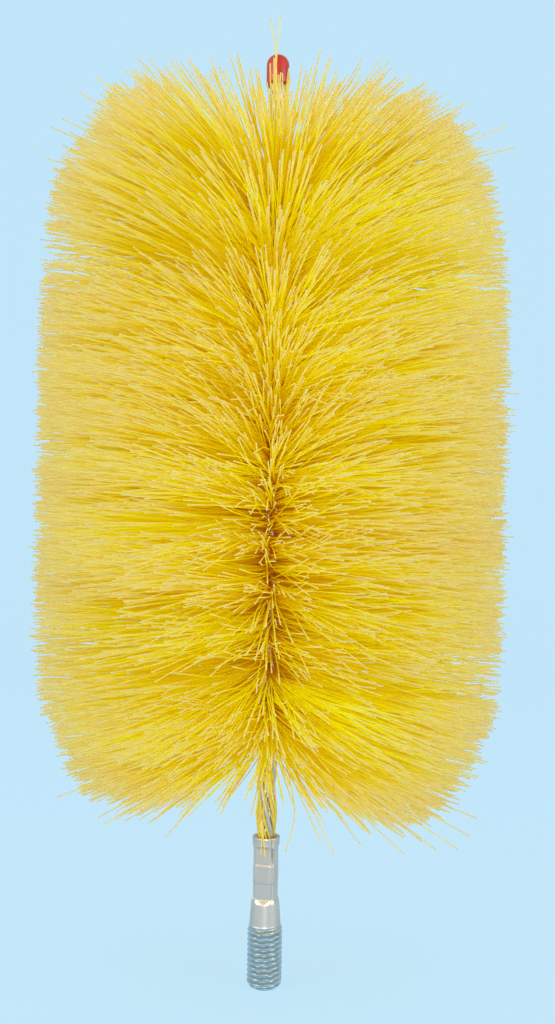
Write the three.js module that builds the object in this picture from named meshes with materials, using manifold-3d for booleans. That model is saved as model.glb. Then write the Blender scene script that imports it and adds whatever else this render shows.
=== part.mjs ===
// Chimney brush: plastic filaments gripped between four twisted steel wires, with a crimped
// threaded ferrule at the bottom of the stem and a soft cap over the cut wire ends at the top.
// Millimetres, +Z up the stem. The origin is the centre of the stud's end face.

import * as THREE from "three";
import { mergeVertices } from "three/addons/utils/BufferGeometryUtils.js";
import Module from "manifold-3d";

const wasm = await Module();
wasm.setup();

// Fits: the gap left between pieces that touch on the real brush.
const CLEARANCE = 0.3;

// Stem of four wires
const WIRE_DIAMETER = 1.7;
const WIRE_SIDES = 8;
const TWIST_LEAD = 56;
const TWIST_STEPS = 14;
const TWIST_PHASE = THREE.MathUtils.degToRad(51);
const STEM_BELOW_FILL = 35;
const STEM_ABOVE_FILL = 39;
const SEAT_ABOVE_NECK = 2.3;

// Filaments: the layer pressed between the wires, and the tufts that stand out of it
const GRIP_THICKNESS = 0.6;
const FILL_LENGTH = 184;
const FILL_SECTIONS = ["bristles_bottom", "bristles_lower", "bristles_upper", "bristles_top"];
const ROWS_PER_SECTION = 54;
const ARMS = 4;
const CORNERS_PER_ARM = 3;
const BRISTLE_LENGTH = 78.5;
const BRISTLE_TIP_WIDTH = 1.6;
const BRISTLE_TIP_HEIGHT = 1.1;
const LEAN_TOP = THREE.MathUtils.degToRad(11);
const LEAN_BOTTOM = THREE.MathUtils.degToRad(9);
const LEAN_POWER = 4;
const END_TRIM = 0.12;
const END_TRIM_POWER = 6;
const FAN_SPREAD = THREE.MathUtils.degToRad(70);
const FAN_STEP = (Math.sqrt(5) - 1) / 2;

// Threaded ferrule
const THREAD_DIAMETER = 12;
const THREAD_LENGTH = 21.5;
const THREAD_CHAMFER = 1.3;
const THREAD_DEPTH = 0.65;
const NECK_LENGTH = 7.5;
const NECK_STEP = 0.2;
const NECK_BLEND = 1;
const TUBE_LENGTH = 22.3;
const CRIMP_WALL = 0.5;
const CRIMP_DEPTH = 0.75;
const CRIMP_AZIMUTH = THREE.MathUtils.degToRad(-105.5);
const CRIMP_FLATS = 4;
const BITE_DEPTH = 0.15;
const BITE_LENGTH = 6;
const LIP_LENGTH = 3.4;
const LIP_FLARE = 0.25;
const CREASE_WIDTH = 0.8;
const CREASE_DEPTH = 0.5;
const CREASE_LENGTH = 5;
const FERRULE_SEGMENTS = 40;

// End cap
const CAP_WALL = 0.7;
const CAP_TOP = 1.4;
const CAP_GRIP = 8.5;
const CAP_DOME = 3.4;
const CAP_SEGMENTS = 28;
const DOME_STEPS = 6;

// Sizes that follow from the driving ones
const WIRE_RADIUS = WIRE_DIAMETER / 2;
const WIRE_OFFSET = WIRE_RADIUS + GRIP_THICKNESS / 2 + CLEARANCE;
const HELIX_RADIUS = WIRE_OFFSET * Math.SQRT2;
const STEM_RADIUS = HELIX_RADIUS + WIRE_RADIUS;
const GRIP_HALF_WIDTH = WIRE_OFFSET + WIRE_RADIUS;
const BORE_RADIUS = STEM_RADIUS + CLEARANCE;
const BITE_RADIUS = BORE_RADIUS + CRIMP_WALL;
const FLAT_RADIUS = BITE_RADIUS + BITE_DEPTH;
const TUBE_RADIUS = FLAT_RADIUS + CRIMP_DEPTH;
const NECK_TOP_RADIUS = TUBE_RADIUS + NECK_STEP;

// Heights up the stem
const NECK_TOP_Z = THREAD_LENGTH + NECK_LENGTH;
const MOUTH_Z = NECK_TOP_Z + TUBE_LENGTH;
const CRIMP_TOP_Z = MOUTH_Z - LIP_LENGTH;
const FILL_Z = MOUTH_Z + STEM_BELOW_FILL;
const FILL_TOP_Z = FILL_Z + FILL_LENGTH;
const CAP_Z = FILL_TOP_Z + STEM_ABOVE_FILL;
const WIRE_BOTTOM_Z = NECK_TOP_Z + SEAT_ABOVE_NECK;
const WIRE_TOP_Z = CAP_Z + CAP_GRIP;

const MATERIALS = {
  zinc: new THREE.MeshStandardMaterial({ color: 0x9fa8a6, metalness: 1, roughness: 0.35 }),
  wire: new THREE.MeshStandardMaterial({ color: 0xb9b3a4, metalness: 1, roughness: 0.45 }),
  filament: new THREE.MeshStandardMaterial({ color: 0xe6b820, metalness: 0, roughness: 0.45 }),
  cap: new THREE.MeshStandardMaterial({ color: 0xc4281c, metalness: 0, roughness: 0.4 }),
};

/** Azimuth of the stem's first filament row at a height: the twist is left-handed. */
function twistAt(z) {
  return TWIST_PHASE - (2 * Math.PI * (z - FILL_Z)) / TWIST_LEAD;
}

/** Place of a height along the fill, from -1 at its bottom to 1 at its top. */
function alongFill(z) {
  return (2 * (z - FILL_Z)) / FILL_LENGTH - 1;
}

/** Angle above level at which the filaments leave the stem: they splay towards both ends. */
function leanAt(z) {
  const most = alongFill(z) > 0 ? LEAN_TOP : -LEAN_BOTTOM;
  return most * Math.abs(alongFill(z)) ** LEAN_POWER;
}

/** Length from the stem's axis to the cut ends: a little shorter at both ends of the fill. */
function reachAt(z) {
  return BRISTLE_LENGTH * (1 - END_TRIM * Math.abs(alongFill(z)) ** END_TRIM_POWER);
}

/** Angle by which a tuft is fanned to one side of its arm: even over the spread, never in step. */
function fanAt(count) {
  return (((count * FAN_STEP) % 1) - 0.5) * FAN_SPREAD;
}

/** Closed geometry to a solid that can be joined and cut. */
function solidOf(geometry) {
  const bare = new THREE.BufferGeometry();
  bare.setAttribute("position", geometry.getAttribute("position"));
  bare.setIndex(geometry.getIndex());
  const merged = mergeVertices(bare, 1e-4);
  const kept = [];
  const index = merged.getIndex().array;
  for (let i = 0; i < index.length; i += 3) {
    const [a, b, c] = [index[i], index[i + 1], index[i + 2]];
    if (a !== b && b !== c && c !== a) {
      kept.push(a, b, c);
    }
  }
  const mesh = new wasm.Mesh({
    numProp: 3,
    vertProperties: new Float32Array(merged.getAttribute("position").array),
    triVerts: new Uint32Array(kept),
  });
  return new wasm.Manifold(mesh);
}

/** Solid back to a mesh with a name and a material. */
function pieceOf(name, solid, material) {
  const mesh = solid.getMesh();
  const positions = [];
  for (let i = 0; i < mesh.numVert; i += 1) {
    positions.push(...mesh.vertProperties.slice(i * mesh.numProp, i * mesh.numProp + 3));
  }
  const geometry = new THREE.BufferGeometry();
  geometry.setAttribute("position", new THREE.Float32BufferAttribute(positions, 3));
  geometry.setIndex(Array.from(mesh.triVerts));
  geometry.computeVertexNormals();
  const piece = new THREE.Mesh(geometry, material);
  piece.name = name;
  return piece;
}

/** Profile of [radius, height] points, from axis to axis, turned about the stem. */
function turned(profile, segments) {
  const points = profile.map(([radius, height]) => new THREE.Vector2(radius, height));
  return solidOf(new THREE.LatheGeometry(points, segments).rotateX(Math.PI / 2));
}

/** Centre line of one stem wire. */
class WireHelix extends THREE.Curve {
  constructor(quarter) {
    super();
    this.quarter = quarter;
  }

  getPoint(t) {
    const z = THREE.MathUtils.lerp(WIRE_BOTTOM_Z, WIRE_TOP_Z, t);
    const azimuth = twistAt(z) + Math.PI / 4 + (this.quarter * Math.PI) / 2;
    return new THREE.Vector3(HELIX_RADIUS * Math.cos(azimuth), HELIX_RADIUS * Math.sin(azimuth), z);
  }
}

/** One round wire swept along its place in the twist. */
function stemWire(quarter) {
  const section = new THREE.Shape();
  for (let side = 0; side < WIRE_SIDES; side += 1) {
    const angle = (2 * Math.PI * side) / WIRE_SIDES;
    const point = [WIRE_RADIUS * Math.cos(angle), WIRE_RADIUS * Math.sin(angle)];
    if (side === 0) {
      section.moveTo(...point);
    } else {
      section.lineTo(...point);
    }
  }
  section.closePath();
  const turns = (WIRE_TOP_Z - WIRE_BOTTOM_Z) / TWIST_LEAD;
  const geometry = new THREE.ExtrudeGeometry(section, {
    steps: Math.round(turns * TWIST_STEPS),
    extrudePath: new WireHelix(quarter),
    bevelEnabled: false,
  });
  return pieceOf(`stem_wire_${quarter + 1}`, solidOf(geometry), MATERIALS.wire);
}

/** Outline of the pressed filament layers: a cross whose arms lie between the wires. */
function gripOutline() {
  const half = GRIP_THICKNESS / 2;
  const outline = [];
  for (let arm = 0; arm < ARMS; arm += 1) {
    const quarter = [
      new THREE.Vector2(GRIP_HALF_WIDTH, -half),
      new THREE.Vector2(GRIP_HALF_WIDTH, half),
      new THREE.Vector2(half, half),
    ];
    const turn = (2 * Math.PI * arm) / ARMS;
    outline.push(...quarter.map((point) => point.rotateAround(new THREE.Vector2(), turn)));
  }
  return outline;
}

/** Corners of a tuft's cut end, in the order of the corners of its root. */
function bristleTip(z, armAzimuth, fan) {
  const azimuth = armAzimuth + fan;
  const lean = leanAt(z);
  const outward = new THREE.Vector3(Math.cos(azimuth), Math.sin(azimuth), 0);
  const along = outward.clone().multiplyScalar(Math.cos(lean)).setZ(Math.sin(lean));
  const across = new THREE.Vector3(-Math.sin(azimuth), Math.cos(azimuth), 0);
  const above = along.clone().cross(across);
  const middle = new THREE.Vector3(Math.cos(armAzimuth), Math.sin(armAzimuth), 0);
  middle.multiplyScalar(GRIP_HALF_WIDTH).setZ(z);
  middle.addScaledVector(along, reachAt(z) - GRIP_HALF_WIDTH);
  const corners = [[-1, -1], [1, -1], [1, 1], [-1, 1]];
  return corners.map(([right, up]) => middle.clone()
    .addScaledVector(across, (right * BRISTLE_TIP_WIDTH) / 2)
    .addScaledVector(above, (up * BRISTLE_TIP_HEIGHT) / 2));
}

/**
 * One section of the fill: a slice of the twisted cross, with tufts standing out of the rims of
 * its arms. Each row lies between two rings of the cross's outline and has a tuft on every second
 * arm, so that the tufts of one arm are a row apart.
 */
function bristleSection(name, number) {
  const depth = FILL_LENGTH / FILL_SECTIONS.length;
  const bottom = FILL_Z + number * depth + CLEARANCE / 2;
  const rowHeight = (depth - CLEARANCE) / ROWS_PER_SECTION;
  const outline = gripOutline();
  const points = [];
  const triangles = [];
  const quad = (a, b, c, d) => triangles.push(a, b, c, a, c, d);

  for (let ring = 0; ring <= ROWS_PER_SECTION; ring += 1) {
    const z = bottom + ring * rowHeight;
    for (const corner of outline) {
      const spun = corner.clone().rotateAround(new THREE.Vector2(), twistAt(z));
      points.push(new THREE.Vector3(spun.x, spun.y, z));
    }
  }
  for (let row = 0; row < ROWS_PER_SECTION; row += 1) {
    const z = bottom + (row + 0.5) * rowHeight;
    for (let edge = 0; edge < outline.length; edge += 1) {
      const next = (edge + 1) % outline.length;
      const below = row * outline.length;
      const above = below + outline.length;
      const root = [below + edge, below + next, above + next, above + edge];
      const onRim = edge % CORNERS_PER_ARM === 0;
      const arm = Math.floor(edge / CORNERS_PER_ARM);
      if (!onRim || (row + arm) % 2 !== 0) {
        quad(...root);
        continue;
      }
      const azimuth = twistAt(z) + (2 * Math.PI * arm) / ARMS;
      const first = points.length;
      const count = (number * ROWS_PER_SECTION + row) * ARMS + arm;
      points.push(...bristleTip(z, azimuth, fanAt(count)));
      const tip = [first, first + 1, first + 2, first + 3];
      for (let side = 0; side < 4; side += 1) {
        const other = (side + 1) % 4;
        quad(root[side], root[other], tip[other], tip[side]);
      }
      quad(...tip);
    }
  }
  const topRing = ROWS_PER_SECTION * outline.length;
  for (const [a, b, c] of THREE.ShapeUtils.triangulateShape(outline, [])) {
    triangles.push(a, c, b);
    triangles.push(topRing + a, topRing + b, topRing + c);
  }
  const geometry = new THREE.BufferGeometry().setFromPoints(points);
  geometry.setIndex(triangles);
  return pieceOf(name, solidOf(geometry), MATERIALS.filament);
}

/** Jaw that presses one flat into the tube, with ends that slope away from it. */
function crimpJaw(radius, bottom, top, azimuth) {
  const reach = THREAD_DIAMETER / 2 + TUBE_RADIUS;
  const slope = reach - radius;
  const outline = new THREE.Shape();
  outline.moveTo(radius, bottom);
  outline.lineTo(reach, bottom - slope);
  outline.lineTo(reach, top + slope);
  outline.lineTo(radius, top);
  outline.closePath();
  const geometry = new THREE.ExtrudeGeometry(outline, { depth: 2 * reach, bevelEnabled: false });
  geometry.translate(0, 0, -reach);
  geometry.rotateX(Math.PI / 2);
  geometry.rotateZ(azimuth);
  return solidOf(geometry);
}

/** Crease left where two jaws meet. */
function crimpCrease(middle, azimuth) {
  const geometry = new THREE.BoxGeometry(2 * CREASE_DEPTH, CREASE_WIDTH, CREASE_LENGTH);
  geometry.translate(TUBE_RADIUS, 0, middle);
  geometry.rotateZ(azimuth);
  return solidOf(geometry);
}

/** Stud, tapered neck and crimped tube in one turned piece. */
function threadedFerrule() {
  const threadRadius = THREAD_DIAMETER / 2;
  const boreBottom = WIRE_BOTTOM_Z - CLEARANCE;
  const lipRadius = TUBE_RADIUS + LIP_FLARE;
  const rootRadius = threadRadius - THREAD_DEPTH;
  let solid = turned(
    [
      [0, 0],
      [threadRadius - THREAD_CHAMFER, 0],
      [threadRadius, THREAD_CHAMFER],
      [threadRadius, THREAD_LENGTH - THREAD_DEPTH],
      [rootRadius, THREAD_LENGTH],
      [NECK_TOP_RADIUS, NECK_TOP_Z],
      [TUBE_RADIUS, NECK_TOP_Z + NECK_BLEND],
      [TUBE_RADIUS, MOUTH_Z - LIP_LENGTH / 2],
      [lipRadius, MOUTH_Z - LIP_FLARE],
      [lipRadius - LIP_FLARE, MOUTH_Z],
      [BORE_RADIUS + LIP_FLARE, MOUTH_Z],
      [BORE_RADIUS, MOUTH_Z - LIP_FLARE],
      [BORE_RADIUS, boreBottom],
      [0, boreBottom],
    ],
    FERRULE_SEGMENTS,
  );
  const lowerBite = NECK_TOP_Z + NECK_BLEND;
  const upperBite = CRIMP_TOP_Z - BITE_LENGTH;
  for (let flat = 0; flat < CRIMP_FLATS; flat += 1) {
    const azimuth = CRIMP_AZIMUTH + (2 * Math.PI * flat) / CRIMP_FLATS;
    const corner = azimuth + Math.PI / CRIMP_FLATS;
    solid = solid.subtract(crimpJaw(FLAT_RADIUS, lowerBite, CRIMP_TOP_Z, azimuth));
    for (const bite of [lowerBite, upperBite]) {
      solid = solid.subtract(crimpJaw(BITE_RADIUS, bite, bite + BITE_LENGTH, azimuth));
      solid = solid.subtract(crimpCrease(bite + BITE_LENGTH / 2, corner));
    }
  }
  return pieceOf("threaded_ferrule", solid, MATERIALS.zinc);
}

/** Soft cap with a domed top, pushed over the wire ends. */
function endCap() {
  const inside = STEM_RADIUS + CLEARANCE;
  const outside = inside + CAP_WALL;
  const cavityTop = WIRE_TOP_Z + CLEARANCE;
  const top = cavityTop + CAP_TOP;
  const profile = [
    [0, cavityTop],
    [inside, cavityTop],
    [inside, CAP_Z],
    [outside, CAP_Z],
  ];
  for (let step = 0; step < DOME_STEPS; step += 1) {
    const angle = (step / DOME_STEPS) * (Math.PI / 2);
    profile.push([outside * Math.cos(angle), top - CAP_DOME + CAP_DOME * Math.sin(angle)]);
  }
  profile.push([0, top]);
  return pieceOf("end_cap", turned(profile, CAP_SEGMENTS), MATERIALS.cap);
}

const brush = new THREE.Group();
brush.name = "chimney_brush";
brush.add(threadedFerrule());
for (let quarter = 0; quarter < 4; quarter += 1) {
  brush.add(stemWire(quarter));
}
FILL_SECTIONS.forEach((name, number) => brush.add(bristleSection(name, number)));
brush.add(endCap());

export default brush;
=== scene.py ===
"""A chimney brush on a pale studio floor: yellow filaments gripped in a twisted wire stem.

Every length is in metres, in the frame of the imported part: +Z runs up the stem from the end of the
threaded stud, and the camera looks along +Y.
"""

import logging
import math
from dataclasses import dataclass, field
from enum import Enum
from typing import Callable

import bmesh
import bpy
import numpy as np
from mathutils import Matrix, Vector

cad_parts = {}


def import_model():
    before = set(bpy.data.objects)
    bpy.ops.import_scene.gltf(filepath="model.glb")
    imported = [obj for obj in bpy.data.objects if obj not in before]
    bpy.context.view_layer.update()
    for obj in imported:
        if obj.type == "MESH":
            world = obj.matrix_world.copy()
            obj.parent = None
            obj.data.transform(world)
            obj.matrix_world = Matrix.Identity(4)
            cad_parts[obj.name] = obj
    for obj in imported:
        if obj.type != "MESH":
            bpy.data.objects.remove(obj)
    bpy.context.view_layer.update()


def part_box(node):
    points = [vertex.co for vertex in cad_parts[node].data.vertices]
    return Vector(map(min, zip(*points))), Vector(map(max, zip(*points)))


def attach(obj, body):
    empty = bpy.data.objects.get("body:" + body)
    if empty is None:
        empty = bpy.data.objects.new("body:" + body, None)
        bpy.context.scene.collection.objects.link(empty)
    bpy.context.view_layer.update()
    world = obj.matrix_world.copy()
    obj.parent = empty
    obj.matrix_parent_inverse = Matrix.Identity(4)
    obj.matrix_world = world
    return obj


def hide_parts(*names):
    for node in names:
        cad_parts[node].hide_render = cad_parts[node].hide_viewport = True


MM = 0.001
NEAR = 0.001 * MM
TURN = 2 * math.pi
BODY = "root"
# Socket numbers of a Mix node for colours, where the names repeat for every kind of data.
SHARE = 0
FROM = 6
TO = 7
MIXED = 2

# Points, in millimetres, that the filaments out of line pass through.
LOOSE_POINTS_MM = {
    "bristles_top": (
        ((1, -2.4, 263), (0.2, -4.6, 290), (-0.6, -6.4, 314), (-2.6, -8.5, 328)),
        ((-0.6, -2.4, 260), (-0.8, -4.8, 288), (-0.6, -6.6, 312), (0.6, -9, 329)),
        ((0.4, -2.4, 266), (-0.8, -4.7, 292), (-1.4, -6.2, 316)),
        ((1.4, -2, 268), (1.8, -4.4, 294), (1.6, -5.6, 311)),
        ((-2, -1, 262), (-45, -12, 276), (-74, -16, 287)),
        ((-2, -1.5, 260), (-42, -14, 277), (-70, -18, 289)),
        ((-1, -2, 264), (-30, -18, 281), (-57, -30, 297)),
        ((-2, -1, 258), (-44, -8, 272), (-77, -10, 279)),
        ((-1.6, -1.8, 263), (-36, -16, 281), (-63, -26, 294)),
        ((-1.2, -2, 265), (-28, -22, 281), (-48, -38, 292)),
        ((2, -1, 262), (45, -5, 277), (80, -8, 286)),
        ((2, -1.2, 261), (42, -10, 276), (75, -15, 290)),
        ((1.6, -1.8, 264), (34, -18, 279), (60, -30, 291)),
        ((1.2, -2, 266), (18, -26, 284), (31, -44, 297)),
    ),
    "bristles_bottom": (
        ((2.2, -1.4, 90), (7.2, -6, 74), (9.4, -9, 61), (6.6, -10.5, 49)),
        ((-1.6, -2, 90), (-2.4, -4.8, 66), (-0.8, -5.3, 51), (-0.2, -5.2, 45)),
        ((0.6, -2.4, 88), (-0.8, -4.6, 66), (-1.4, -5.2, 52), (-1.8, -5.1, 46)),
        ((2, -1, 92), (40, -15, 74), (68, -22, 64)),
        ((2, -1.5, 91), (38, -16, 72), (65, -24, 59)),
        ((1, -2, 92), (9, -30, 80), (19.6, -60, 63)),
        ((1.2, -2, 91), (7, -28, 80), (16, -58, 66)),
        ((2, -1.2, 90), (36, -20, 70), (60, -32, 57)),
        ((1.8, -1.4, 90), (30, -24, 71), (52, -40, 59)),
        ((1.6, -1.8, 90), (24, -28, 72), (41, -48, 60)),
        ((-2, -1, 92), (-42, -6, 76), (-70, -10, 66)),
        ((-1.8, -1.4, 91), (-30, -20, 74), (-50, -36, 64)),
    ),
}

log = logging.getLogger("chimney_brush")


class SelectBy(Enum):
    """What a selection in edit mode is made of."""

    EDGE = (False, True, False)
    FACE = (False, False, True)


class Slot(Enum):
    """The record's material slots."""

    ZINC = "zinc_plated_steel"
    WIRE = "galvanised_wire"
    FILAMENT = "yellow_filament"
    CAP = "red_cap"


def linear(hex_colour: str) -> tuple[float, float, float, float]:
    """Turn an sRGB hex colour into the linear colour that a shader takes.

    Args:
        hex_colour: Six hex digits, with or without a leading #.

    Returns:
        Linear red, green, blue and an alpha of 1.
    """
    digits = hex_colour.lstrip("#")
    parts = [int(digits[i : i + 2], 16) / 255 for i in (0, 2, 4)]
    red, green, blue = [p / 12.92 if p <= 0.04045 else ((p + 0.055) / 1.055) ** 2.4 for p in parts]
    return red, green, blue, 1.0


def add_node(
    tree: bpy.types.NodeTree, kind: str, inputs: dict | None = None, **settings
) -> bpy.types.Node:
    """Add a shader node with its settings, values and links.

    Args:
        tree: The tree that gets the node.
        kind: The node's type name, after its leading ShaderNode.
        inputs: Value, or output socket to link from, for each input name or number.
        **settings: The node's own properties.

    Returns:
        The new node.
    """
    node = tree.nodes.new(f"ShaderNode{kind}")
    for name, value in settings.items():
        setattr(node, name, value)
    for key, value in (inputs or {}).items():
        if isinstance(value, bpy.types.NodeSocket):
            tree.links.new(value, node.inputs[key])
        else:
            node.inputs[key].default_value = value
    return node


def start_material(name: str) -> tuple[bpy.types.Material, bpy.types.NodeTree, bpy.types.Node]:
    """Make an empty material.

    Args:
        name: The material's name.

    Returns:
        The material, its node tree and its output node.
    """
    material = bpy.data.materials.new(name)
    material.use_nodes = True
    tree = material.node_tree
    tree.nodes.clear()
    return material, tree, add_node(tree, "OutputMaterial")


def deselect_all() -> None:
    """Leave object mode with nothing selected."""
    if bpy.context.object and bpy.context.object.mode != "OBJECT":
        bpy.ops.object.mode_set(mode="OBJECT")
    bpy.ops.object.select_all(action="DESELECT")


def select_in_edit(mode: SelectBy, test: Callable[[list[Vector]], bool]) -> None:
    """Select the parts of the mesh being edited whose corners pass a test.

    Args:
        mode: Whether edges or faces are selected.
        test: Takes the corners' places and says whether that edge or face is selected.
    """
    bpy.context.tool_settings.mesh_select_mode = mode.value
    bpy.ops.mesh.select_all(action="DESELECT")
    mesh = bpy.context.object.data
    work = bmesh.from_edit_mesh(mesh)
    for part in work.edges if mode is SelectBy.EDGE else work.faces:
        part.select_set(test([v.co for v in part.verts]))
    bmesh.update_edit_mesh(mesh)


def dress(piece: bpy.types.Object, node: str, material: bpy.types.Material) -> bpy.types.Object:
    """Put a finished piece in the place of its CAD node.

    Args:
        piece: The finished object, at the origin.
        node: The CAD node that it replaces.
        material: The finish.

    Returns:
        The same object.
    """
    piece.data.materials.clear()
    piece.data.materials.append(material)
    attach(piece, BODY)
    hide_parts(node)
    log.info("%s stands for %s: %d faces", piece.name, node, len(piece.data.polygons))
    return piece


@dataclass(frozen=True)
class FilamentFinish:
    """Extruded polypropylene monofilament.

    The eye gets a satin yellow that differs from strand to strand, with light coming through it. The
    cut ends scatter more and look pale. Near the roots a painted shade browns the strands, standing in
    for the shade where they crowd round the stem.
    """

    deep: str = "#E8D404"
    bright: str = "#F6FA1A"
    cut_end: str = "#F5EABA"
    cut_end_from: float = 0.8
    cut_end_share: float = 0.8
    # Painted shade near the roots, where the strands crowd round the stem.
    root: str = "#D29614"
    root_shade_from: float = 0.25
    root_shade_until: float = 0.42
    root_share: float = 0.7
    roughness_low: float = 0.55
    roughness_high: float = 0.75
    ior: float = 1.3
    see_through: float = 0.6
    lamp_light_passed: float = 0.97
    passed_tint: str = "#FFFAF4"

    def material(self) -> bpy.types.Material:
        """Build the material from the strands' tone and place-along-strand attributes."""
        material, tree, output = start_material("polypropylene_filament")
        tone = add_node(tree, "Attribute", attribute_name="tone").outputs["Fac"]
        along = add_node(tree, "Attribute", attribute_name="along").outputs["Fac"]
        body = add_node(
            tree, "Mix", {SHARE: tone, FROM: linear(self.deep), TO: linear(self.bright)}, data_type="RGBA"
        )
        pale = add_node(tree, "MapRange", {
            "Value": along,
            "From Min": self.cut_end_from,
            "To Max": self.cut_end_share,
        })
        tipped = add_node(
            tree,
            "Mix",
            {SHARE: pale.outputs[0], FROM: body.outputs[MIXED], TO: linear(self.cut_end)},
            data_type="RGBA",
        )
        # Painted shade mask: full at the roots, fading out further along each strand.
        pressed = add_node(tree, "MapRange", {
            "Value": along,
            "From Min": self.root_shade_from,
            "From Max": self.root_shade_until,
            "To Min": self.root_share,
            "To Max": 0.0,
        })
        colour = add_node(
            tree,
            "Mix",
            {SHARE: pressed.outputs[0], FROM: tipped.outputs[MIXED], TO: linear(self.root)},
            data_type="RGBA",
        )
        gloss = add_node(tree, "MapRange", {
            "Value": tone,
            "To Min": self.roughness_high,
            "To Max": self.roughness_low,
        })
        shader = add_node(tree, "BsdfPrincipled", {
            "Base Color": colour.outputs[MIXED],
            "Roughness": gloss.outputs[0],
            "IOR": self.ior,
        })
        passed = add_node(tree, "BsdfTranslucent", {"Color": colour.outputs[MIXED]})
        scattered = add_node(
            tree, "MixShader", {0: self.see_through, 1: shader.outputs[0], 2: passed.outputs[0]}
        )
        # Drawn filaments are thicker than real ones and would hide too much of the lamps, so each
        # lets most of their light pass on to the next.
        path = add_node(tree, "LightPath")
        red, green, blue, _ = (self.lamp_light_passed * share for share in linear(self.passed_tint))
        lamp_light = add_node(tree, "BsdfTransparent", {"Color": (red, green, blue, 1.0)})
        surface = add_node(tree, "MixShader", {
            0: path.outputs["Is Shadow Ray"],
            1: scattered.outputs[0],
            2: lamp_light.outputs[0],
        })
        tree.links.new(surface.outputs[0], output.inputs["Surface"])
        return material


@dataclass(frozen=True)
class MetalFinish:
    """Plated or galvanised steel.

    The eye gets a cloudy grey metal whose gloss varies with the coating. The coating's real grain is
    too fine to show, so the grit is drawn as coarse as it needs to be seen.
    """

    name: str
    light: str
    dark: str
    roughness_low: float
    roughness_high: float
    cloud_mm: float
    grit_mm: float
    grit_depth_mm: float
    # Painted reflection: tints for the threaded stud, bluer and a little darker than the tube.
    stud_reflection_light: str | None = None
    stud_reflection_dark: str | None = None
    stud_top_mm: float = 0.0
    stud_blend_mm: float = 1.0
    cloud_detail: float = 4.0
    cloud_low: float = 0.3
    cloud_high: float = 0.7
    grit_strength: float = 0.5

    def material(self) -> bpy.types.Material:
        """Build the material on object coordinates: clouds for tone and gloss, grit for bump."""
        material, tree, output = start_material(self.name)
        place = add_node(tree, "TexCoord").outputs["Object"]
        clouds = add_node(tree, "TexNoise", {
            "Vector": place,
            "Scale": 1 / (self.cloud_mm * MM),
            "Detail": self.cloud_detail,
        })
        colour = add_node(
            tree,
            "Mix",
            {SHARE: clouds.outputs["Fac"], FROM: linear(self.dark), TO: linear(self.light)},
            data_type="RGBA",
        )
        # Painted reflection: below stud_top_mm the colour turns to the stud tints, bluer and a little
        # darker, for the cooler reflections on the thread's flanks.
        if self.stud_reflection_light and self.stud_reflection_dark:
            stud = add_node(
                tree,
                "Mix",
                {SHARE: clouds.outputs["Fac"], FROM: linear(self.stud_reflection_dark), TO: linear(self.stud_reflection_light)},
                data_type="RGBA",
            )
            height = add_node(tree, "SeparateXYZ", {0: place})
            above = add_node(tree, "MapRange", {
                "Value": height.outputs["Z"],
                "From Min": (self.stud_top_mm - self.stud_blend_mm) * MM,
                "From Max": (self.stud_top_mm + self.stud_blend_mm) * MM,
            })
            colour = add_node(
                tree,
                "Mix",
                {SHARE: above.outputs[0], FROM: stud.outputs[MIXED], TO: colour.outputs[MIXED]},
                data_type="RGBA",
            )
        gloss = add_node(tree, "MapRange", {
            "Value": clouds.outputs["Fac"],
            "From Min": self.cloud_low,
            "From Max": self.cloud_high,
            "To Min": self.roughness_high,
            "To Max": self.roughness_low,
        })
        grit = add_node(tree, "TexNoise", {"Vector": place, "Scale": 1 / (self.grit_mm * MM)})
        bump = add_node(tree, "Bump", {
            "Strength": self.grit_strength,
            "Distance": self.grit_depth_mm * MM,
            "Height": grit.outputs["Fac"],
        })
        shader = add_node(tree, "BsdfPrincipled", {
            "Base Color": colour.outputs[MIXED],
            "Metallic": 1.0,
            "Roughness": gloss.outputs[0],
            "Normal": bump.outputs[0],
        })
        tree.links.new(shader.outputs[0], output.inputs["Surface"])
        return material


@dataclass(frozen=True)
class CapFinish:
    """Dipped soft PVC.

    The eye gets a glossy, mottled red with a slight orange-peel skin.
    """

    red: str = "#D4300F"
    deep: str = "#860C06"
    roughness: float = 0.3
    ior: float = 1.53
    mottle_mm: float = 4.0
    peel_mm: float = 0.7
    peel_depth_mm: float = 0.05
    peel_strength: float = 0.3

    def material(self) -> bpy.types.Material:
        """Build the material on object coordinates."""
        material, tree, output = start_material("dipped_pvc")
        place = add_node(tree, "TexCoord").outputs["Object"]
        mottle = add_node(tree, "TexNoise", {"Vector": place, "Scale": 1 / (self.mottle_mm * MM)})
        colour = add_node(
            tree,
            "Mix",
            {SHARE: mottle.outputs["Fac"], FROM: linear(self.deep), TO: linear(self.red)},
            data_type="RGBA",
        )
        peel = add_node(tree, "TexNoise", {"Vector": place, "Scale": 1 / (self.peel_mm * MM)})
        bump = add_node(tree, "Bump", {
            "Strength": self.peel_strength,
            "Distance": self.peel_depth_mm * MM,
            "Height": peel.outputs["Fac"],
        })
        shader = add_node(tree, "BsdfPrincipled", {
            "Base Color": colour.outputs[MIXED],
            "Roughness": self.roughness,
            "IOR": self.ior,
            "Normal": bump.outputs[0],
        })
        tree.links.new(shader.outputs[0], output.inputs["Surface"])
        return material


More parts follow.
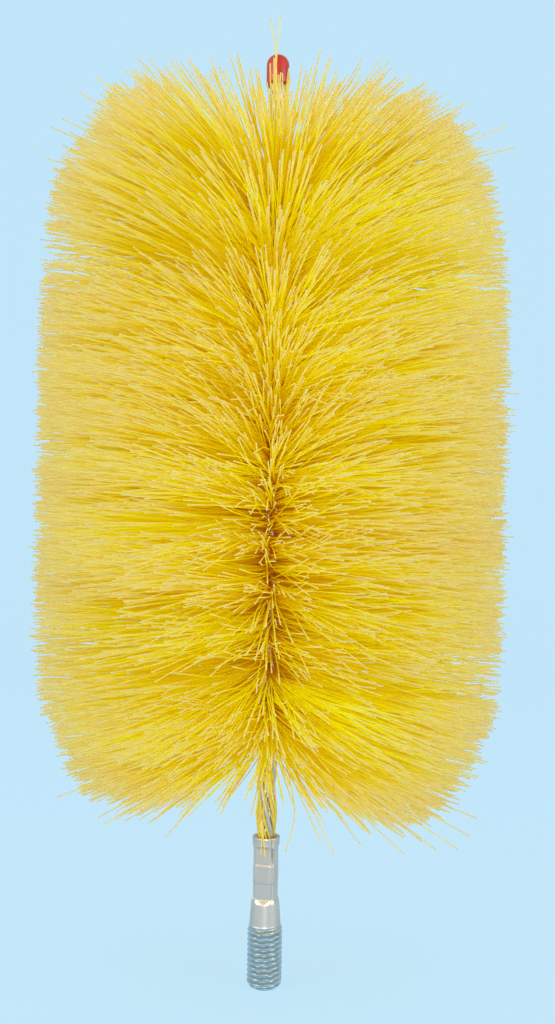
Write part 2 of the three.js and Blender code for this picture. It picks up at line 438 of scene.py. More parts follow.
@dataclass(frozen=True)
class StageFinish:
    """Matt paper sweep: shown in a flat pale blue, but lighting the object as neutral paper."""

    shown: str = "#C5E9FD"
    paper: str = "#E6E6E4"
    shadow_share: float = 0.16

    def material(self) -> bpy.types.Material:
        """Build the material: the shown colour keeps a share of the object's shadow."""
        material, tree, output = start_material("paper_sweep")
        path = add_node(tree, "LightPath")
        camera_or_glossy = add_node(
            tree,
            "Math",
            {0: path.outputs["Is Camera Ray"], 1: path.outputs["Is Glossy Ray"]},
            operation="MAXIMUM",
        )
        seen = add_node(
            tree,
            "Math",
            {0: camera_or_glossy.outputs[0], 1: path.outputs["Is Transmission Ray"]},
            operation="MAXIMUM",
        )
        glow = add_node(tree, "Emission", {"Color": linear(self.shown)})
        tinted = add_node(tree, "BsdfDiffuse", {"Color": linear(self.shown)})
        paper = add_node(tree, "BsdfDiffuse", {"Color": linear(self.paper)})
        shown = add_node(
            tree, "MixShader", {0: self.shadow_share, 1: glow.outputs[0], 2: tinted.outputs[0]}
        )
        surface = add_node(
            tree, "MixShader", {0: seen.outputs[0], 1: paper.outputs[0], 2: shown.outputs[0]}
        )
        tree.links.new(surface.outputs[0], output.inputs["Surface"])
        return material


@dataclass(frozen=True)
class StemLay:
    """How the wires are twisted, and how the filaments leave them."""

    lead: float = 56 * MM
    phase: float = math.radians(51)
    fill_bottom: float = 86.3 * MM
    fill_length: float = 184 * MM
    helix_radius: float = 2.05 * MM
    rim_radius: float = 2.5 * MM
    lean_top: float = math.radians(13.5)
    lean_bottom: float = math.radians(12.5)
    lean_power: float = 4.0
    front_lean_top: float = 0.6
    front_lean_bottom: float = 0.2
    front_power: float = 20.0
    side_lean: float = 0.65
    side_power: float = 6.0
    right_bias_top: float = -0.12
    right_bias_bottom: float = 0.2
    end_trim: float = 0.17
    end_trim_power: float = 9.0

    @property
    def fill_top(self) -> float:
        """Height of the last filament."""
        return self.fill_bottom + self.fill_length

    def twist_at(self, z: np.ndarray) -> np.ndarray:
        """Azimuth of the first filament layer at a height: the twist is left-handed."""
        return self.phase - TURN * (z - self.fill_bottom) / self.lead

    def along_fill(self, z: np.ndarray) -> np.ndarray:
        """Place of a height along the fill, from -1 at its bottom to 1 at its top."""
        return 2 * (z - self.fill_bottom) / self.fill_length - 1

    def lean_at(self, z: np.ndarray, heading: np.ndarray) -> np.ndarray:
        """Angle above level at which filaments leave the stem.

        They splay towards both ends of the fill, less so straight to the front, back and sides,
        and the right-hand side hangs a little lower than the left.

        Args:
            z: Height at which each leaves the stem.
            heading: Azimuth that each takes.

        Returns:
            The angles.
        """
        along = self.along_fill(z)
        most = np.where(along > 0, self.lean_top, -self.lean_bottom)
        front = np.where(along > 0, self.front_lean_top, self.front_lean_bottom)
        bias = np.where(along > 0, self.right_bias_top, self.right_bias_bottom)
        share = 1 + bias * np.cos(heading)
        share = share - (1 - front) * np.abs(np.sin(heading)) ** self.front_power
        share = share - (1 - self.side_lean) * np.abs(np.cos(heading)) ** self.side_power
        return most * share * np.abs(along) ** self.lean_power

    def trim_at(self, z: np.ndarray) -> np.ndarray:
        """Share of the full reach that filaments have: a little less at both ends of the fill."""
        return 1 - self.end_trim * np.abs(self.along_fill(z)) ** self.end_trim_power


@dataclass(frozen=True)
class LooseFilament:
    """A filament that has come out of line, given by the few points that it passes through."""

    points_mm: tuple[tuple[float, float, float], ...]

    def path(self, segments: int) -> np.ndarray:
        """Smooth the points into a centre line.

        Args:
            segments: How many straight stretches the line gets.

        Returns:
            Points of the line, one row each.
        """
        knots = np.array(self.points_mm) * MM
        ends = np.vstack([2 * knots[0] - knots[1], knots, 2 * knots[-1] - knots[-2]])
        at = np.linspace(0, len(knots) - 1, segments + 1)
        span = np.minimum(at.astype(int), len(knots) - 2)
        t = (at - span)[:, None]
        before, a, b, after = (ends[span + shift] for shift in range(4))
        curve = 2 * a + (b - before) * t
        curve = curve + (2 * before - 5 * a + 4 * b - after) * t**2
        curve = curve + (3 * a - before - 3 * b + after) * t**3
        return curve / 2


@dataclass
class BristleFill:
    """The filaments: four layers, gripped at their middles between the wires, in four sections.

    Real filaments of this kind are about 0.3 mm thick and more in number. They are drawn a little
    thicker, so that single ones show at the render's size.
    """

    lay: StemLay
    material: bpy.types.Material
    mouth_z: float
    cap_z: float
    sections: tuple[str, ...] = ("bristles_bottom", "bristles_lower", "bristles_upper", "bristles_top")
    ends_per_section: int = 4600
    ends_per_clump: int = 48
    layers: int = 4
    sides: int = 4
    segments: int = 3
    filament_radius: float = 0.19 * MM
    reach: float = 78.5 * MM
    reach_spread: float = 0.9 * MM
    stray_share: float = 0.03
    stray_reach: float = 3.0 * MM
    clump_fan: float = math.radians(8)
    strand_fan: float = math.radians(17)
    most_fan: float = math.radians(45)
    crossing_share: float = 0.2
    crossing_fan: float = math.radians(80)
    root_share: float = 0.4
    core_width: float = 0.35 * MM
    clump_lean: float = math.radians(2.2)
    strand_lean: float = math.radians(1.8)
    comb: float = math.radians(4)
    crowding: float = 2.2
    bow: float = math.radians(3.5)
    clump_tone: float = 0.65
    steep: float = 0.9
    stem_strands_per_layer: int = 6
    stem_strand_points: int = 25
    stem_strand_spread: float = 0.4
    stem_strand_gap: float = 0.15 * MM
    stem_strand_lift: float = 1.05 * MM
    stem_strand_in_tube: float = 4 * MM
    stem_strand_overlap: float = 2 * MM
    wander: float = 0.1
    wander_waves: float = 7.0
    wander_starts: float = 6.0
    loose_from: float = 0.86
    loose_segments: int = 16
    seed: int = 7
    template: dict[int, tuple[np.ndarray, list[list[int]]]] = field(default_factory=dict)

    def filament(self, segments: int) -> tuple[np.ndarray, list[list[int]]]:
        """Model one straight filament of unit length along +X and unit radius.

        Args:
            segments: How many stretches it has, so that its copies can bend.

        Returns:
            Its points and the corner numbers of its faces.
        """
        if segments in self.template:
            return self.template[segments]
        deselect_all()
        level = (0, math.pi / 2, 0)
        bpy.ops.mesh.primitive_cylinder_add(
            vertices=self.sides, radius=1, depth=1, location=(0.5, 0, 0), rotation=level
        )
        bpy.ops.object.transform_apply(location=True, rotation=True, scale=True)
        bpy.ops.object.mode_set(mode="EDIT")
        select_in_edit(SelectBy.EDGE, lambda ends: abs(ends[0].x - ends[1].x) > 0.5)
        bpy.ops.mesh.subdivide(number_cuts=segments - 1)
        bpy.ops.object.mode_set(mode="OBJECT")
        mesh = bpy.context.object.data
        points = np.array([v.co for v in mesh.vertices])
        faces = [list(p.vertices) for p in mesh.polygons]
        bpy.data.objects.remove(bpy.context.object)
        bpy.data.meshes.remove(mesh)
        self.template[segments] = (points, faces)
        return self.template[segments]

    def clumped(
        self, rng: np.random.Generator, clumps: np.ndarray, together: float, apart: float
    ) -> np.ndarray:
        """Draw one number per filament, alike within a clump.

        Args:
            rng: The random source.
            clumps: Clump number of each filament.
            together: Spread between clumps.
            apart: Spread within a clump.

        Returns:
            The numbers.
        """
        shared = rng.normal(0, together, clumps.max() + 1)
        return shared[clumps] + rng.normal(0, apart, len(clumps))

    def section_paths(self, number: int, rng: np.random.Generator) -> np.ndarray:
        """Lay out the filament ends of one section.

        Args:
            number: The section, counted from the stud.
            rng: The random source.

        Returns:
            Centre lines: filament, point along it, and x, y, z.
        """
        depth = self.lay.fill_length / len(self.sections)
        bottom = self.lay.fill_bottom + number * depth
        count = self.ends_per_section
        order = np.arange(count)
        per_layer = count // self.layers
        layer = order // per_layer
        up = ((order % per_layer) + rng.random(count)) / per_layer
        if number == 0:
            up = up**self.crowding
        if number == len(self.sections) - 1:
            up = 1 - (1 - up) ** self.crowding
        z = bottom + depth * up
        clumps = order // self.ends_per_clump
        fan = self.clumped(rng, clumps, self.clump_fan, self.strand_fan)
        fan = np.clip(fan, -self.most_fan, self.most_fan)
        crossing = rng.random(count) < self.crossing_share
        wide = self.most_fan + (self.crossing_fan - self.most_fan) * rng.random(count)
        fan = np.where(crossing, wide * rng.choice((-1, 1), count), fan)
        azimuth = self.lay.twist_at(z) + TURN * layer / self.layers
        lean = self.lay.lean_at(z, azimuth + fan)
        lean = lean + self.clumped(rng, clumps, self.clump_lean, self.strand_lean)
        reach = self.reach * self.lay.trim_at(z) + rng.normal(0, self.reach_spread, count)
        stray = rng.random(count) < self.stray_share
        reach = reach + np.where(stray, self.stray_reach * rng.random(count), 0)
        rooted = azimuth + self.root_share * fan
        root = np.stack([np.cos(rooted), np.sin(rooted), np.zeros(count)], axis=1)
        root = root * self.lay.rim_radius
        root[:, 2] = z
        core = np.concatenate([rng.normal(0, self.core_width, (count, 2)), z[:, None]], axis=1)
        along = (np.arange(self.segments) + 0.5) / self.segments
        sideways = self.clumped(rng, clumps, self.bow, self.bow)
        upwards = self.clumped(rng, clumps, self.bow, self.bow)
        combed = sideways - self.comb * np.sin(2 * (azimuth + fan))
        heading = (azimuth + fan)[:, None] + combed[:, None] * along
        slope = lean[:, None] + upwards[:, None] * along
        direction = np.stack(
            [np.cos(heading) * np.cos(slope), np.sin(heading) * np.cos(slope), np.sin(slope)], axis=2
        )
        stretch = (reach - self.lay.rim_radius)[:, None, None] / self.segments
        steps = np.concatenate([root[:, None, :], direction * stretch], axis=1)
        return np.concatenate([core[:, None, :], np.cumsum(steps, axis=1)], axis=1)

    def stem_paths(self, bottom: float, top: float, rng: np.random.Generator) -> np.ndarray:
        """Lay filaments lengthwise in the grooves between the wires.

        Args:
            bottom: Height of their lower ends.
            top: Height of their upper ends.
            rng: The random source.

        Returns:
            Centre lines, as section_paths gives them.
        """
        count = self.layers * self.stem_strands_per_layer
        layer = np.arange(count) % self.layers
        steps = np.linspace(0, 1, self.stem_strand_points)[None, :]
        z = bottom + (top - bottom) * steps + np.zeros((count, 1))
        azimuth = self.lay.twist_at(z) + TURN * layer[:, None] / self.layers
        aside = rng.normal(0, self.stem_strand_spread, (count, 1))
        starts = self.wander_starts * rng.random((count, 1))
        aside = aside + self.wander * np.sin(self.wander_waves * steps + starts)
        half_layer = TURN / (2 * self.layers)
        aside = np.clip(aside, -half_layer, half_layer)
        azimuth = azimuth + aside
        radius = self.lay.rim_radius + self.stem_strand_gap + self.stem_strand_lift * np.abs(aside)
        return np.stack([radius * np.cos(azimuth), radius * np.sin(azimuth), z], axis=2)

    def strands(self, paths: np.ndarray) -> tuple[np.ndarray, list[list[int]]]:
        """Copy the filament along every centre line.

        Args:
            paths: Centre lines of one number of points each.

        Returns:
            Points of all copies, and their faces.
        """
        points, faces = self.filament(paths.shape[1] - 1)
        ring = np.rint(points[:, 0] * (paths.shape[1] - 1)).astype(int)
        tangent = np.gradient(paths, axis=1)
        tangent = tangent / np.linalg.norm(tangent, axis=2, keepdims=True)
        steep = np.abs(tangent[:, :1, 2:]) > self.steep
        reference = np.where(steep, np.array([0.0, 1.0, 0.0]), np.array([0.0, 0.0, 1.0]))
        side = np.cross(tangent, reference)
        side = side / np.linalg.norm(side, axis=2, keepdims=True)
        above = np.cross(side, tangent)
        offset = points[:, 1:] * self.filament_radius
        placed = paths[:, ring] + side[:, ring] * offset[:, :1] + above[:, ring] * offset[:, 1:]
        size = len(points)
        copied = [[c + size * k for c in face] for k in range(len(paths)) for face in faces]
        return placed.reshape(-1, 3), copied

    def loose(self, name: str) -> list[LooseFilament]:
        """Filaments out of line in a section."""
        return [LooseFilament(points) for points in LOOSE_POINTS_MM.get(name, ())]

    def build(self) -> list[bpy.types.Object]:
        """Make the four sections, each one mesh of filaments."""
        pieces = []
        for number, name in enumerate(self.sections):
            rng = np.random.default_rng(self.seed + number)
            groups = [self.section_paths(number, rng)]
            if number == 0:
                bottom = self.mouth_z - self.stem_strand_in_tube
                top = self.lay.fill_bottom + self.stem_strand_overlap
                groups.append(self.stem_paths(bottom, top, rng))
            if number == len(self.sections) - 1:
                bottom = self.lay.fill_top - self.stem_strand_overlap
                top = self.cap_z + self.stem_strand_overlap
                groups.append(self.stem_paths(bottom, top, rng))
            groups += [loose.path(self.loose_segments)[None] for loose in self.loose(name)]
            pieces.append(self.section_mesh(name, groups, rng))
        return pieces

    def section_mesh(
        self, name: str, groups: list[np.ndarray], rng: np.random.Generator
    ) -> bpy.types.Object:
        """Join the strands of one section and note each strand's tone.

        Args:
            name: The CAD node's name.
            groups: Sets of centre lines, each with its own number of points.
            rng: The random source.

        Returns:
            The finished section.
        """
        points, faces, tone, along = [], [], [], []
        for paths in groups:
            placed, copied = self.strands(paths)
            first = sum(len(p) for p in points)
            faces += [[c + first for c in face] for face in copied]
            points.append(placed)
            each = len(placed) // len(paths)
            clumps = np.arange(len(paths)) // self.ends_per_clump
            shared = rng.random(clumps.max() + 1)
            own = rng.random(len(paths))
            mixed = self.clump_tone * shared[clumps] + (1 - self.clump_tone) * own
            tone.append(np.repeat(mixed, each))
            place = self.filament(paths.shape[1] - 1)[0][:, 0]
            if paths is not groups[0]:
                place = self.loose_from + (1 - self.loose_from) * place
            along.append(np.tile(place, len(paths)))
        mesh = bpy.data.meshes.new(f"{name}_filaments")
        mesh.from_pydata(np.concatenate(points).tolist(), [], faces)
        for label, values in (("tone", tone), ("along", along)):
            attribute = mesh.attributes.new(label, "FLOAT", "POINT")
            attribute.data.foreach_set("value", np.concatenate(values).astype(np.float32))
        mesh.shade_smooth()
        piece = bpy.data.objects.new(f"{name}_filaments", mesh)
        bpy.context.collection.objects.link(piece)
        return dress(piece, name, self.material)


@dataclass
class StemWires:
    """Four round wires twisted into one stem."""

    lay: StemLay
    material: bpy.types.Material
    wire_radius: float = 0.85 * MM
    sides: int = 14
    steps_per_turn: int = 40
    wires: int = 4
    smooth_angle: float = math.radians(50)

    def build(self) -> list[bpy.types.Object]:
        """Sweep each wire's round section up its place in the twist."""
        return [self.wire(number) for number in range(self.wires)]

    def wire(self, number: int) -> bpy.types.Object:
        """Sweep one wire.

        Args:
            number: Its place round the stem, counted from 0.

        Returns:
            The finished wire.
        """
        node = f"stem_wire_{number + 1}"
        lowest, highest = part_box(node)
        height = highest.z - lowest.z - 2 * self.wire_radius * math.sin(self.pitch_angle())
        bottom = (lowest.z + highest.z - height) / 2
        azimuth = self.lay.twist_at(bottom) + TURN / (2 * self.wires) + number * TURN / self.wires
        deselect_all()
        bpy.ops.mesh.primitive_circle_add(
            vertices=self.sides,
            radius=self.wire_radius,
            location=(
                self.lay.helix_radius * math.cos(azimuth),
                self.lay.helix_radius * math.sin(azimuth),
                bottom,
            ),
            rotation=(self.pitch_angle(), 0, azimuth),
        )
        bpy.ops.object.transform_apply(location=True, rotation=True, scale=True)
        piece = bpy.context.object
        piece.name = f"{node}_drawn"
        turns = height / self.lay.lead
        sweep = piece.modifiers.new("twist", "SCREW")
        sweep.axis = "Z"
        sweep.angle = -TURN * turns
        sweep.screw_offset = height
        sweep.steps = sweep.render_steps = round(turns * self.steps_per_turn)
        sweep.use_smooth_shade = True
        bpy.ops.object.modifier_apply(modifier=sweep.name)
        bpy.ops.object.mode_set(mode="EDIT")
        bpy.ops.mesh.select_all(action="SELECT")
        bpy.ops.mesh.fill_holes(sides=0)
        bpy.ops.mesh.select_all(action="SELECT")
        bpy.ops.mesh.normals_make_consistent(inside=False)
        bpy.ops.object.mode_set(mode="OBJECT")
        bpy.ops.object.shade_smooth_by_angle(angle=self.smooth_angle)
        return dress(piece, node, self.material)

    def pitch_angle(self) -> float:
        """How far the wires lean away from the stem's axis."""
        return math.atan(TURN * self.lay.helix_radius / self.lay.lead)


@dataclass
class ThreadedFerrule:
    """Turned steel end: a threaded stud, a tapered neck and a tube crimped on the stem.

    The thread is M12 with a pitch of 1.75 mm. Each of the jaws' two bites presses four flats into
    the tube.
    """

    material: bpy.types.Material
    thread_radius: float = 6.0 * MM
    thread_pitch: float = 1.75 * MM
    thread_depth: float = 1.07 * MM
    thread_length: float = 21.5 * MM
    crest_flat: float = 0.14
    flank_width: float = 0.72
    flank_round: float = 0.4
    blank_radius: float = 5.35 * MM
    end_chamfer: float = 1.3 * MM
    neck_top: float = 29.0 * MM
    neck_top_radius: float = 4.8 * MM
    tube_radius: float = 4.6 * MM
    lip_radius: float = 4.68 * MM
    lip_length: float = 1.7 * MM
    lip_edge: float = 0.25 * MM
    wall_margin: float = 0.1 * MM
    bore_radius: float = 3.2 * MM
    bore_bottom: float = 31.0 * MM
    flat_radius: float = 3.85 * MM
    flat_round: float = 0.25 * MM
    bite_depth: float = 0.15 * MM
    bite_length: float = 6.0 * MM
    bite_edge: float = 0.3 * MM
    crimp_bottom: float = 30.0 * MM
    crimp_top: float = 47.9 * MM
    crimp_azimuth: float = math.radians(-105.5)
    crimp_flats: int = 4
    crease_width: float = 0.4 * MM
    crease_depth: float = 0.5 * MM
    seam_cosine: float = 0.9
    seam_fade: float = 3.0 * MM
    segments: int = 128
    chamfer_rows: int = 10
    thread_rows: int = 170
    runout_rows: int = 8
    neck_rows: int = 20
    tube_rows: int = 90
    lip_rows: int = 8
    smooth_angle: float = math.radians(45)

    def build(self) -> bpy.types.Object:
        """Turn the blank, then press the crimp and roll the thread into it."""
        node = "threaded_ferrule"
        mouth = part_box(node)[1].z
        piece = self.turned_blank(mouth)
        piece.name = "threaded_ferrule_plated"
        mesh = piece.data
        points = np.array([v.co for v in mesh.vertices])
        radius = np.hypot(points[:, 0], points[:, 1])
        azimuth = np.arctan2(points[:, 1], points[:, 0])
        z = points[:, 2]
        outside = radius > self.bore_radius + self.lip_edge + self.wall_margin
        threaded = outside & (z > 0) & (z <= self.thread_length)
        shaped = radius.copy()
        shaped[threaded] = self.threaded(radius, azimuth, z)[threaded]
        tube = outside & (z > self.thread_length)
        shaped[tube] = self.crimped(radius, azimuth, z)[tube]
        scale = np.divide(shaped, radius, out=np.ones_like(radius), where=radius > 0)
        points[:, :2] *= scale[:, None]
        mesh.vertices.foreach_set("co", points.astype(np.float32).ravel())
        mesh.update()
        deselect_all()
        piece.select_set(True)
        bpy.context.view_layer.objects.active = piece
        bpy.ops.object.shade_smooth_by_angle(angle=self.smooth_angle)
        return dress(piece, node, self.material)

    def turned_blank(self, mouth: float) -> bpy.types.Object:
        """Extrude the blank station by station up from the stud's end face.

        Args:
            mouth: Height of the tube's mouth.

        Returns:
            The blank, with close rows where it is threaded and crimped.
        """
        thread_top = self.thread_length - self.thread_pitch / 2
        lip_bottom = mouth - self.lip_length
        stations = [
            (self.thread_radius, self.end_chamfer),
            (self.thread_radius, thread_top),
            (self.blank_radius, self.thread_length),
            (self.neck_top_radius, self.neck_top),
            (self.tube_radius, self.crimp_bottom),
            (self.tube_radius, lip_bottom),
            (self.lip_radius, mouth - self.lip_edge),
            (self.tube_radius, mouth),
            (self.bore_radius + self.lip_edge, mouth),
            (self.bore_radius, mouth - self.lip_edge),
            (self.bore_radius, self.bore_bottom),
        ]
        deselect_all()
        radius = self.thread_radius - self.end_chamfer
        bpy.ops.mesh.primitive_circle_add(vertices=self.segments, radius=radius, fill_type="NGON")
        piece = bpy.context.object
        bpy.ops.object.mode_set(mode="EDIT")
        bpy.ops.mesh.select_all(action="SELECT")
        height = 0.0
        for new_radius, new_height in stations:
            bpy.ops.mesh.extrude_region_move(
                TRANSFORM_OT_translate={"value": (0, 0, new_height - height)}
            )
            share = new_radius / radius
            bpy.ops.transform.resize(value=(share, share, 1), center_override=(0, 0, new_height))
            radius, height = new_radius, new_height
        bpy.ops.mesh.select_all(action="SELECT")
        bpy.ops.mesh.normals_make_consistent(inside=False)
        self.close_rows(0, self.end_chamfer, self.chamfer_rows)
        self.close_rows(self.end_chamfer, thread_top, self.thread_rows)
        self.close_rows(thread_top, self.thread_length, self.runout_rows)
        self.close_rows(self.thread_length, self.neck_top, self.neck_rows)
        self.close_rows(self.crimp_bottom, lip_bottom, self.tube_rows)
        self.close_rows(lip_bottom, mouth - self.lip_edge, self.lip_rows)
        bpy.ops.object.mode_set(mode="OBJECT")
        return piece

    def close_rows(self, bottom: float, top: float, rows: int) -> None:
        """Cut a stretch of the outside, between two stations, into rows.

        Args:
            bottom: Height of the lower station.
            top: Height of the upper station.
            rows: How many rows the stretch gets.
        """

        def spans(ends: list[Vector]) -> bool:
            """Whether an edge of the outside runs from the lower station to the upper one."""
            low, high = sorted(ends, key=lambda end: end.z)
            outside = low.xy.length > self.bore_radius + self.lip_edge + NEAR
            return outside and abs(low.z - bottom) < NEAR and abs(high.z - top) < NEAR

        select_in_edit(SelectBy.EDGE, spans)
        bpy.ops.mesh.subdivide(number_cuts=rows - 1)

    def threaded(self, radius: np.ndarray, azimuth: np.ndarray, z: np.ndarray) -> np.ndarray:
        """Radius of the rolled right-hand thread, running out at both ends.

        Args:
            radius: The blank's radius at each point.
            azimuth: Azimuth of each point.
            z: Height of each point.

        Returns:
            The new radius at each point.
        """
        phase = (z / self.thread_pitch - azimuth / TURN) % 1
        from_crest = np.abs(phase - 0.5) * 2
        flank = np.clip((from_crest - self.crest_flat) / self.flank_width, 0, 1)
        eased = flank**2 * (3 - 2 * flank)
        flank = flank * (1 - self.flank_round) + self.flank_round * eased
        cut = self.thread_radius - self.thread_depth * flank
        runout = np.clip((self.thread_length - z) / self.thread_pitch, 0, 1)
        cut = self.blank_radius + (cut - self.blank_radius) * runout
        return np.minimum(cut, np.where(z < self.end_chamfer, radius, cut))

    def crimped(self, radius: np.ndarray, azimuth: np.ndarray, z: np.ndarray) -> np.ndarray:
        """Radius of the neck and tube after the jaws have pressed their flats and creases.

        Args:
            radius: The blank's radius at each point.
            azimuth: Azimuth of each point.
            z: Height of each point.

        Returns:
            The new radius at each point.
        """
        sector = TURN / self.crimp_flats
        off_flat = (azimuth - self.crimp_azimuth + sector / 2) % sector - sector / 2
        beyond = np.maximum(self.crimp_bottom - z, 0) + np.maximum(z - self.crimp_top, 0)
        bite = np.zeros_like(z)
        for bottom in (self.crimp_bottom, self.crimp_top - self.bite_length):
            middle = bottom + self.bite_length / 2
            edge = self.bite_length / 2 - np.abs(z - middle)
            bite = np.maximum(bite, np.clip(edge / self.bite_edge, 0, 1))
        flat = (self.flat_radius - self.bite_depth * bite + beyond) / np.cos(off_flat)
        blend = np.clip(0.5 + (radius - flat) / (2 * self.flat_round), 0, 1)
        pressed = radius * (1 - blend) + flat * blend - self.flat_round * blend * (1 - blend)
        off_corner = off_flat - np.sign(off_flat) * sector / 2
        across = off_corner * self.tube_radius / self.crease_width
        crease = np.exp(-(across**2)) * bite * self.crease_depth
        open_seam = np.cos(azimuth - self.crimp_azimuth - sector / 2) > self.seam_cosine
        near_mouth = np.clip((z - (self.crimp_top - self.bite_length)) / self.seam_fade, 0, 1)
        crease = crease + np.exp(-(across**2)) * near_mouth * open_seam * self.crease_depth
        return pressed - crease


@dataclass
class EndCap:
    """Soft domed cap pushed over the cut ends of the wires."""

    material: bpy.types.Material
    wall: float = 0.7 * MM
    dome: float = 3.3 * MM
    rim_round: float = 0.25 * MM
    cavity: float = 8.8 * MM
    segments: int = 48
    dome_steps: int = 9
    rim_steps: int = 3
    smooth_angle: float = math.radians(45)

    def build(self) -> bpy.types.Object:
        """Shape a cylinder of the cap's size: dome its top, hollow it and round its rim."""
        node = "end_cap"
        lowest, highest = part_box(node)
        radius = (highest.x - lowest.x) / 2
        height = highest.z - lowest.z
        deselect_all()
        middle = (0, 0, lowest.z + height / 2)
        bpy.ops.mesh.primitive_cylinder_add(
            vertices=self.segments, radius=radius, depth=height, location=middle
        )
        bpy.ops.object.transform_apply(location=True, rotation=True, scale=True)
        piece = bpy.context.object
        piece.name = "end_cap_dipped"
        bpy.ops.object.mode_set(mode="EDIT")
        select_in_edit(SelectBy.FACE, lambda corners: all(c.z > highest.z - MM for c in corners))
        bpy.ops.mesh.bevel(offset=self.dome, segments=self.dome_steps, affect="EDGES")
        select_in_edit(SelectBy.FACE, lambda corners: all(c.z < lowest.z + NEAR for c in corners))
        bpy.ops.mesh.inset(thickness=self.wall)
        bpy.ops.mesh.extrude_region_move(TRANSFORM_OT_translate={"value": (0, 0, self.cavity)})
        select_in_edit(SelectBy.EDGE, lambda ends: self.rim_edge(ends, lowest.z))
        bpy.ops.mesh.bevel(offset=self.rim_round, segments=self.rim_steps, affect="EDGES")
        bpy.ops.object.mode_set(mode="OBJECT")
        bpy.ops.object.shade_smooth_by_angle(angle=self.smooth_angle)
        return dress(piece, node, self.material)

    def rim_edge(self, ends: list[Vector], rim_z: float) -> bool:
        """Whether an edge runs round the rim, inside or outside, and not across it.

        Args:
            ends: The edge's two ends.
            rim_z: Height of the rim.

        Returns:
            True for such an edge.
        """
        level = all(end.z < rim_z + NEAR for end in ends)
        return level and abs(ends[0].xy.length - ends[1].xy.length) < NEAR


@dataclass(frozen=True)
class SoftLamp:
    """A soft square lamp: where it hangs, the length of its side and its power in watts."""

    name: str
    place: tuple[float, float, float]
    size: float
    power: float

    def hang(self, target: Vector) -> None:
        """Hang the lamp so that it faces a point.

        Args:
            target: The point.
        """
        light = bpy.data.lights.new(self.name, "AREA")
        light.size = self.size
        light.energy = self.power
        lamp = bpy.data.objects.new(self.name, light)
        lamp.location = self.place
        aim = target - Vector(self.place)
        lamp.rotation_euler = aim.to_track_quat("-Z", "Y").to_euler()
        bpy.context.collection.objects.link(lamp)


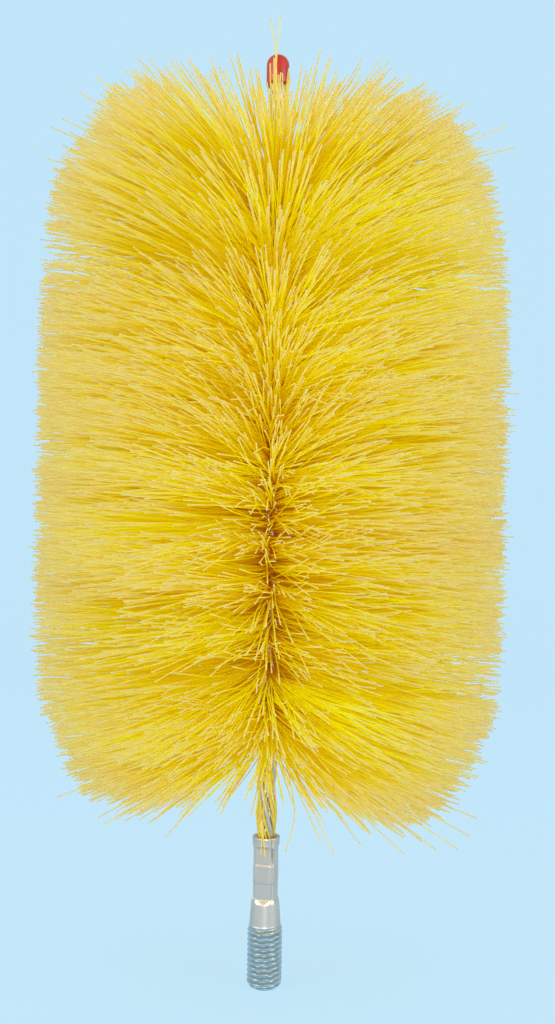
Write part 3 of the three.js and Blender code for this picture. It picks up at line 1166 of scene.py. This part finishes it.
@dataclass
class Studio:
    """Paper sweep, soft lamps and a camera that sees the brush as it was photographed."""

    stage_material: bpy.types.Material
    image_px: tuple[int, int] = (555, 1024)
    photo_scale: float = 0.344 * MM
    stud_end_px: tuple[float, float] = (264.0, 985.0)
    stem_lean_px: float = 0.0153
    distance: float = 0.34
    horizon_px: float = 558.0
    sensor: float = 36.0
    sweep_width: float = 6.0
    sweep_front: float = 2.5
    sweep_back: float = 1.8
    sweep_height: float = 3.0
    sweep_round: float = 0.9
    sweep_steps: int = 24
    lamps: tuple[SoftLamp, ...] = (
        SoftLamp("front", (-0.03, -0.8, 0.22), 0.3, 1.8),
        SoftLamp("left", (-0.85, -0.5, 0.5), 0.7, 3.8),
        SoftLamp("right", (0.85, -0.5, 0.4), 0.7, 3.8),
    )
    lit_height: float = 0.17
    room: str = "#FFFFFF"
    ambient: float = 0.72
    strands_lit_through: int = 72

    def build(self) -> None:
        """Lay out the sweep, the lamps, the ambient light and the camera."""
        self.sweep()
        for lamp in self.lamps:
            lamp.hang(Vector((0, 0, self.lit_height)))
        world = bpy.data.worlds.new("soft_room")
        world.use_nodes = True
        background = world.node_tree.nodes["Background"]
        background.inputs["Color"].default_value = linear(self.room)
        background.inputs["Strength"].default_value = self.ambient
        bpy.context.scene.world = world
        self.camera()
        bpy.context.scene.view_settings.view_transform = "Standard"
        bpy.context.scene.cycles.transparent_max_bounces = self.strands_lit_through

    def sweep(self) -> None:
        """Floor that curves up into a backdrop."""
        deselect_all()
        depth = self.sweep_front + self.sweep_back
        middle = (self.sweep_back - self.sweep_front) / 2
        bpy.ops.mesh.primitive_plane_add(size=1, location=(0, middle, 0))
        floor = bpy.context.object
        floor.name = "paper_sweep"
        floor.scale = (self.sweep_width, depth, 1)
        bpy.ops.object.transform_apply(location=True, rotation=True, scale=True)
        bpy.ops.object.mode_set(mode="EDIT")
        at_back = self.sweep_back - MM
        select_in_edit(SelectBy.EDGE, lambda ends: all(e.y > at_back for e in ends))
        bpy.ops.mesh.extrude_region_move(TRANSFORM_OT_translate={"value": (0, 0, self.sweep_height)})
        select_in_edit(SelectBy.EDGE, lambda ends: all(e.y > at_back and e.z < MM for e in ends))
        bpy.ops.mesh.bevel(offset=self.sweep_round, segments=self.sweep_steps, affect="EDGES")
        bpy.ops.object.mode_set(mode="OBJECT")
        floor.data.shade_smooth()
        floor.data.materials.append(self.stage_material)

    def camera(self) -> None:
        """Level camera whose frame puts the stud's end and the stem where the photograph has them."""
        width, height = self.image_px
        data = bpy.data.cameras.new("camera")
        data.sensor_width = self.sensor
        data.lens = self.sensor * self.distance / (self.photo_scale * height)
        data.shift_y = (self.horizon_px - height / 2) / height
        up_stem = self.stud_end_px[1] - self.horizon_px
        stem_x = self.stud_end_px[0] + up_stem * self.stem_lean_px
        camera = bpy.data.objects.new("camera", data)
        camera.location = (
            (width / 2 - stem_x) * self.photo_scale,
            -self.distance,
            up_stem * self.photo_scale,
        )
        camera.rotation_euler = (math.pi / 2, -math.atan(self.stem_lean_px), 0)
        bpy.context.collection.objects.link(camera)
        bpy.context.scene.camera = camera


def main() -> None:
    """Build the brush on its frame and set the studio."""
    logging.basicConfig(level=logging.INFO, format="%(name)s: %(message)s")
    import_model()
    lay = StemLay()
    # Bright zinc plating, with painted reflection: the turned tube is tinted warm to offset the pale blue
    # that it reflects, and the rolled thread is tinted bluer and a little darker for the cooler
    # reflections on its flanks.
    zinc = MetalFinish(
        name="bright_zinc_plate",
        light="#E6D8CC",
        dark="#BCB1A6",
        roughness_low=0.32,
        roughness_high=0.48,
        cloud_mm=5.0,
        grit_mm=0.35,
        grit_depth_mm=0.02,
        stud_reflection_light="#C9DAE1",
        stud_reflection_dark="#A4B3B9",
        stud_top_mm=21.5,
    )
    # Drawn and hot-dip galvanised wire: duller and blotchier than the plating.
    wire = MetalFinish(
        name="galvanised_steel_wire",
        light="#D8D4C6",
        dark="#A8A498",
        roughness_low=0.38,
        roughness_high=0.58,
        cloud_mm=3.0,
        grit_mm=0.5,
        grit_depth_mm=0.04,
    )
    ThreadedFerrule(zinc.material()).build()
    StemWires(lay, wire.material()).build()
    mouth_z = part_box("threaded_ferrule")[1].z
    cap_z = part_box("end_cap")[0].z
    BristleFill(lay, FilamentFinish().material(), mouth_z, cap_z).build()
    EndCap(CapFinish().material()).build()
    Studio(StageFinish().material()).build()


if __name__ == "__main__":
    main()
